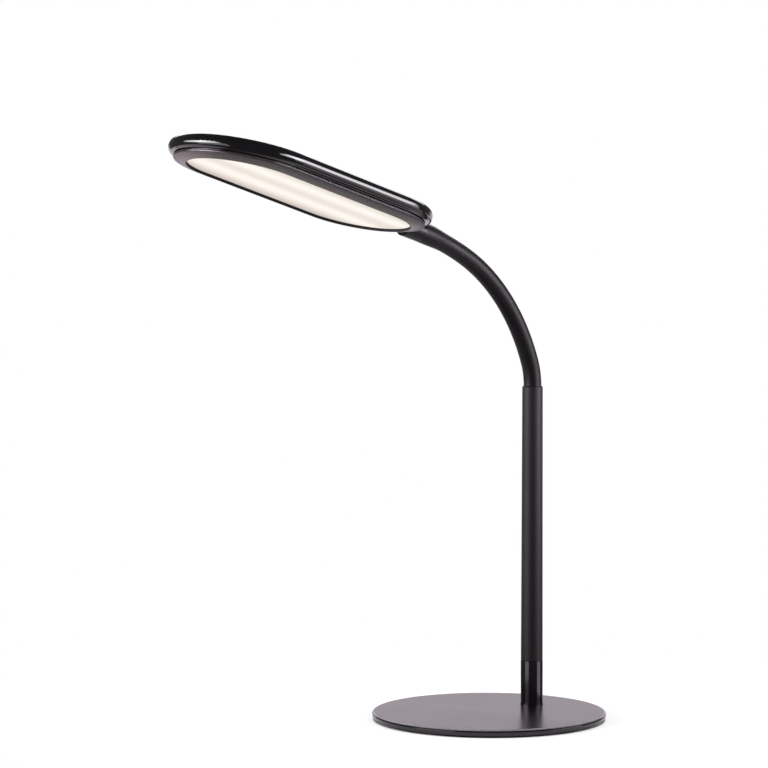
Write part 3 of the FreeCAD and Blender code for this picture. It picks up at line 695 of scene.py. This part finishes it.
def table_white():
    finish = Finish("table_white")
    tone = finish.noise(grain=0.4, detail=1.0)
    mirrored = finish.rays("Glossy") + finish.rays("Transmission")
    length = finish.node("ShaderNodeLightPath", output="Ray Length")
    middle = {0: finish.coordinates, 1: (0.0, 0.0, 0.0)}
    away = finish.node("ShaderNodeVectorMath", {"operation": "DISTANCE"}, middle, output="Value")
    lifted = (finish.rays("Camera") + mirrored) * finish.ease(away, SHADE_UNTIL, SHADE_END)
    past_rim = finish.ease(length, RIM_REACH, RIM_REACH_END)
    between = past_rim * (1.0 - finish.ease(length, HEAD_REACH, HEAD_REACH_FULL))
    finish.set(
        base_color=finish.mix(tone, grey(0.80), grey(0.82)),
        roughness=0.9,
        specular_ior_level=0.0,
        emission_color=finish.mix(lifted, grey(0.0), grey(FLOOR_LIFT)),
        emission_strength=1.0,
        alpha=(1.0 - finish.ease(away, FADE_FROM, FADE_TO)) * (1.0 - mirrored * between),
    )
    return finish


bpy.ops.object.select_all(action="DESELECT")
bpy.ops.mesh.primitive_circle_add(
    vertices=FLOOR_POINTS, radius=FLOOR_RADIUS, fill_type="NGON", location=(0.0, 0.0, FLOOR_HEIGHT)
)
floor = bpy.context.object
floor.name = "floor"
floor.data.materials.append(table_white().material)
print(f"floor {2 * FLOOR_RADIUS} m across")

# %% [markdown]
# ## Lamps and flags
# Black things are lit by what they mirror, so the light comes from soft boxes, which are large and even. They
# are placed by the direction in which they stand from the lamp. A flag keeps the light of a box off a piece, as
# a black card does in a studio.

# %% One soft box and one flag
VIEW_AZIMUTH = 44.829


def facing(azimuth):
    """Level direction from the lamp towards a viewer at this azimuth."""
    angle = math.radians(azimuth)
    return Vector((math.sin(angle), -math.cos(angle), 0.0))


def soft_box(name, aim, azimuth, elevation, away, size, level, spread=180):
    """Area lamp that would look this bright without a grid; a smaller spread narrows its light."""
    bpy.ops.object.select_all(action="DESELECT")
    rise = math.radians(elevation)
    direction = facing(azimuth) * math.cos(rise) + Vector((0.0, 0.0, math.sin(rise)))
    bpy.ops.object.light_add(type="AREA", location=aim + direction * away)
    box = bpy.context.object
    box.name = name
    box.rotation_euler = direction.to_track_quat("Z", "Y").to_euler()
    box.data.shape = "RECTANGLE"
    box.data.size, box.data.size_y = size
    box.data.energy = level * math.pi * size[0] * size[1]
    box.data.spread = math.radians(spread)
    box.visible_camera = False
    print(f"{name}: {box.data.energy:.1f} W")
    return box


def shield(box, *names):
    """Keep a lamp's light off these pieces."""
    flagged = bpy.data.collections.new(f"{box.name}_flag")
    box.light_linking.receiver_collection = flagged
    for name in names:
        flagged.objects.link(nodes[name])
    for member in flagged.collection_objects:
        member.light_linking.link_state = "EXCLUDE"
    print(f"{box.name}: kept off {', '.join(names)}")


# %% [markdown]
# ## Studio light
# Two soft boxes left and right of the head draw the streaks on its cover; grids narrow their light, and the
# base is shielded from them, or it would mirror them as a white disc. Two dimmer boxes lower down draw the grey
# bands on the post and the collar. The last one stands behind the lamp, and the painted highlight line on the
# rim of the base catches its light.

# %% Five soft boxes
STAND_MIDDLE = Vector((0.0, 0.0, 0.15))
HIGH = {"aim": HEAD_MIDDLE, "elevation": 1, "away": 1.0, "level": 3.0, "spread": 70}
LOW = {"aim": STAND_MIDDLE, "elevation": -6, "away": 1.5, "level": 2.5, "size": (1.1, 0.65)}
REAR = {"aim": STAND_MIDDLE, "elevation": 34, "away": 1.6, "level": 4.0, "size": (1.6, 0.4)}

left_high = soft_box("left_high", azimuth=VIEW_AZIMUTH - 72, size=(1.25, 0.32), **HIGH)
right_high = soft_box("right_high", azimuth=VIEW_AZIMUTH + 74, size=(1.25, 0.34), **HIGH)
shield(left_high, "base_plate")
shield(right_high, "base_plate")
soft_box("left_low", azimuth=VIEW_AZIMUTH - 55, **LOW)
soft_box("right_low", azimuth=VIEW_AZIMUTH + 78, **LOW)
soft_box("rear_box", azimuth=VIEW_AZIMUTH + 180, **REAR)

# %% [markdown]
# ## Room
# The camera sees nothing but white behind the lamp. For all other rays the room is dim, which leaves the round
# parts black where no lamp and no card shows.

# %% Room
ROOM_LEVEL = 0.12


def light_room():
    world = bpy.data.worlds.new("studio_room")
    bpy.context.scene.world = world
    world.use_nodes = True
    room = Network(world.node_tree)
    tone = room.mix(room.rays("Camera"), grey(ROOM_LEVEL), grey(1.0))
    room.feed(room.tree.nodes["Background"].inputs["Color"], tone)
    print(f"{world.name}: level {ROOM_LEVEL}")


light_room()

# %% [markdown]
# ## Cards
# Four white cards are there for mirror images. One lies on the table behind the lamp and another stands at its
# far end, no higher than the head: the top of the base and the underside of the head show them. The others lie
# right and left of the lamp and show in the lower half of the cover and in the bezel's tip.

# %% White cards
CARD_HEIGHT = -0.002


def card_white():
    finish = Finish("card_white")
    tone = finish.noise(grain=0.4, detail=1.0)
    finish.set(
        base_color=finish.mix(tone, (0.78, 0.70, 0.77), (0.82, 0.74, 0.81)),
        roughness=0.9,
        specular_ior_level=0.0,
        emission_color=(1.0, 0.90, 0.985, 1.0),
        emission_strength=0.82,
    )
    return finish


white = card_white()


def lay_card(name, right, behind, size, height=CARD_HEIGHT, upright=False):
    """White card, placed by its middle: this far right of the lamp and behind it, as the camera sees it."""
    place = facing(VIEW_AZIMUTH + 90) * right - facing(VIEW_AZIMUTH) * behind + Vector((0.0, 0.0, height))
    turn = (math.radians(90 * upright), 0.0, math.radians(VIEW_AZIMUTH))
    bpy.ops.object.select_all(action="DESELECT")
    bpy.ops.mesh.primitive_plane_add(size=1.0, location=place, rotation=turn)
    card = bpy.context.object
    card.name = name
    card.scale = (*size, 1.0)
    bpy.ops.object.transform_apply(location=True, rotation=True, scale=True)
    card.visible_camera = card.visible_diffuse = card.visible_shadow = False
    card.data.materials.append(white.material)
    print(f"{name}: {size[0]} by {size[1]} m")


lay_card("rear_card", right=0.0, behind=0.875, size=(1.8, 0.75))
lay_card("upright_card", right=0.0, behind=1.25, size=(1.8, 0.42), height=0.21, upright=True)
lay_card("right_card", right=0.64, behind=-0.05, size=(0.52, 0.5))
lay_card("left_card", right=-0.66, behind=0.1, size=(0.52, 0.7))

# %% [markdown]
# ## Camera
# The lamp is seen from the front left corner, from about the height of the head, through a long lens, so the
# base is a flat ellipse and the underside of the tilted head just shows. The place and the lens were worked out
# from the outlines of the base, the post and the head.

# %% Camera
CAMERA_PLACE = (1.651448, -1.776065, 0.40262)
CAMERA_DOWN = 3.41
LENS = 148.55
SENSOR_WIDTH = 36.0
SIGHT = 50.0
bpy.ops.object.camera_add(
    location=CAMERA_PLACE, rotation=(math.radians(90 - CAMERA_DOWN), 0.0, math.radians(VIEW_AZIMUTH))
)
camera = bpy.context.object
camera.data.sensor_width = SENSOR_WIDTH
camera.data.lens = LENS
camera.data.clip_end = SIGHT
scene = bpy.context.scene
scene.camera = camera
scene.view_settings.view_transform = "Standard"
print(f"camera at {CAMERA_PLACE}")
